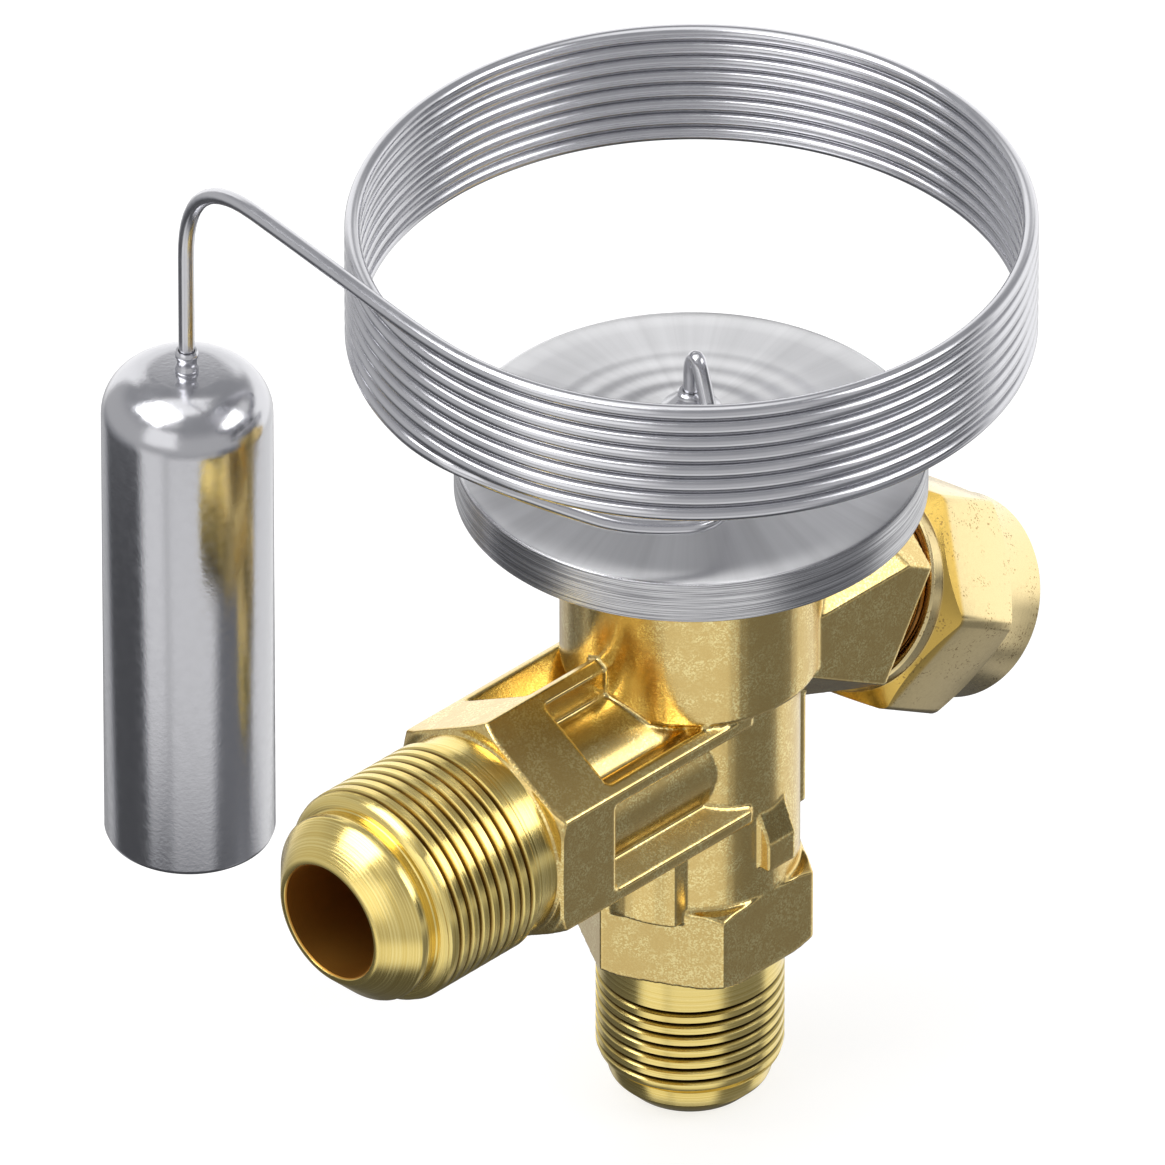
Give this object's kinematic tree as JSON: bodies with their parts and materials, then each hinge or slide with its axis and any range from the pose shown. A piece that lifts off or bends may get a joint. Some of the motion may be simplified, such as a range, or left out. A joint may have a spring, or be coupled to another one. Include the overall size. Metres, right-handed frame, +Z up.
{
  "type": "thermostatic expansion valve",
  "caption": "Angle-way refrigerant expansion valve: forged brass body with flare ends, steel diaphragm element, coiled capillary tube and sensing bulb.",
  "frame": {"origin": "on the valve axis, where the full thread of the inlet flare end begins", "axes": "+Z up the valve axis from the inlet to the diaphragm element, -X along the outlet flare end, superheat spindle in the XZ plane towards +X, sensing bulb hanging on the +Y side"},
  "size_m": [0.079, 0.0711, 0.0887],
  "materials": {
    "forged_brass": "satin forged, threads and cones turned bright",
    "turned_brass": "turned bright",
    "brushed_sheet": "brushed round the axis",
    "drawn_tube": "bright drawn stainless",
    "polished_bulb": "polished stainless",
    "spring_steel": "drawn wire and ground pin",
    "seal_rubber": "moulded",
    "seal_fibre": "pressed sealing fibre"
  },
  "bodies": {
    "valve": {"valve_body": "forged_brass", "orifice_body": "turned_brass", "spindle_gland": "turned_brass", "strainer_collar": "turned_brass", "spring_cup": "turned_brass", "element_lower_housing": "brushed_sheet", "element_upper_cover": "brushed_sheet", "element_diaphragm": "brushed_sheet", "capillary_tube": "drawn_tube", "capillary_ferrule": "drawn_tube", "bulb_neck": "drawn_tube", "sensing_bulb": "polished_bulb", "superheat_spring": "spring_steel", "orifice_spring": "spring_steel", "strainer_mesh": "spring_steel", "orifice_ring": "seal_rubber", "spindle_packing": "seal_fibre", "cap_gasket": "seal_fibre"},
    "cap": {"seal_cap": "turned_brass"},
    "spindle": {"setting_spindle": "spring_steel"},
    "plunger": {"forked_plunger": "turned_brass"},
    "seat": {"spring_seat": "turned_brass"},
    "push_rod": {"thrust_pad": "brushed_sheet", "push_pin": "spring_steel", "orifice_poppet": "turned_brass"}
  },
  "joints": [
    {"name": "cap_removal", "type": "slide", "parent": "valve", "child": "cap", "axis": [0.8616, 0, -0.5075], "range_m": [0, 0.025]},
    {"name": "spindle_turn", "type": "hinge", "parent": "valve", "child": "spindle", "pos_m": [0, 0, 0.0482], "axis": [0.8616, 0, -0.5075], "range_deg": [-450, 450]},
    {"name": "plunger_slide", "type": "slide", "parent": "valve", "child": "plunger", "axis": [-0.8616, 0, 0.5075], "range_m": [-0.00125, 0.00125]},
    {"name": "seat_lift", "type": "slide", "parent": "valve", "child": "seat", "axis": [0, 0, 1], "range_m": [-0.00064, 0.00064]},
    {"name": "valve_stroke", "type": "slide", "parent": "valve", "child": "push_rod", "axis": [0, 0, -1], "range_m": [0, 0.0007], "stiffness_N_per_m": 400, "springref_m": -0.002, "deforming": ["superheat_spring", "orifice_spring"]}
  ],
  "couplings": [
    {"joint": "spindle_turn", "follows": "plunger_slide", "rad_per_m": 6283.2},
    {"joint": "seat_lift", "follows": "plunger_slide", "ratio": 0.50754}
  ]
}
